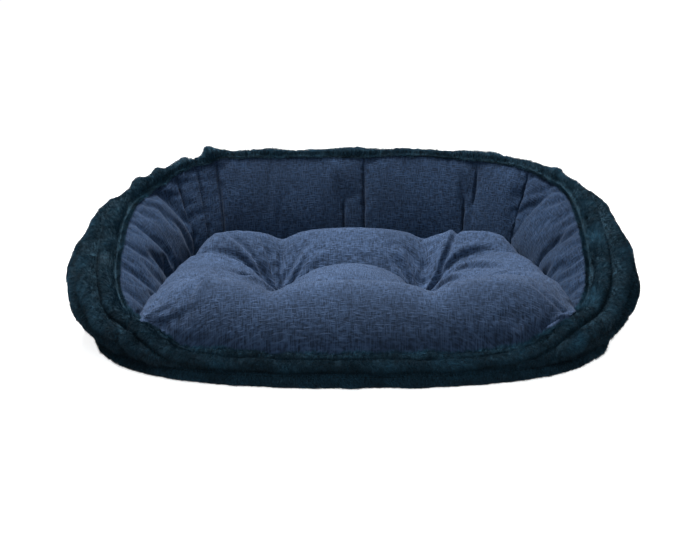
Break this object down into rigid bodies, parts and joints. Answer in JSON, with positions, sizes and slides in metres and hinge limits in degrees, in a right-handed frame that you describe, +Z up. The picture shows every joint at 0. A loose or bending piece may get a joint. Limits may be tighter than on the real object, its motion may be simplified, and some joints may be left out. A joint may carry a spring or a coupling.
{
  "type": "pet cushion bed",
  "caption": "Oval bolster bed: a stuffed wall, high behind and low in front, quilted plush outside and woven cloth inside, round a loose tufted cushion.",
  "frame": {"origin": "centre of the bed's underside, on the floor", "axes": "+Z up, +X to the right of someone facing the low front, +Y from the low front to the high back"},
  "size_m": [0.9844, 0.6863, 0.2789],
  "materials": {
    "plush": "short pile plush, soft sheen",
    "woven_cloth": "slub weave, matt",
    "base_cloth": "non-slip cloth, matt",
    "fibre_filling": "white polyester fibre",
    "plush_thread": "dark polyester thread",
    "cushion_thread": "blue polyester thread"
  },
  "bodies": {
    "bed": {"bottom_cloth": "base_cloth", "base_pad": "fibre_filling", "deck_cloth": "woven_cloth", "base_band": "plush", "wall_filling_back": "fibre_filling", "plush_cover_back": "plush", "woven_lining_back": "woven_cloth", "wall_filling_left": "fibre_filling", "plush_cover_left": "plush", "woven_lining_left": "woven_cloth", "wall_filling_front": "fibre_filling", "plush_cover_front": "plush", "woven_lining_front": "woven_cloth", "wall_filling_right": "fibre_filling", "plush_cover_right": "plush", "woven_lining_right": "woven_cloth", "channel_thread_1": "plush_thread", "channel_thread_2": "plush_thread", "channel_thread_3": "plush_thread", "channel_thread_4": "plush_thread", "channel_thread_5": "plush_thread", "rim_seam_thread": "plush_thread", "base_seam_thread": "plush_thread"},
    "cushion": {"cushion_top_panel": "woven_cloth", "cushion_bottom_panel": "woven_cloth", "cushion_filling": "fibre_filling", "cushion_edge_seam": "cushion_thread", "tuft_tie_back_left": "cushion_thread", "tuft_tie_back_right": "cushion_thread", "tuft_tie_front_left": "cushion_thread", "tuft_tie_front_right": "cushion_thread"}
  },
  "joints": [
    {"name": "cushion_lift", "type": "slide", "parent": "bed", "child": "cushion", "axis": [0, 0, 1], "range_m": [0, 0.3]}
  ]
}
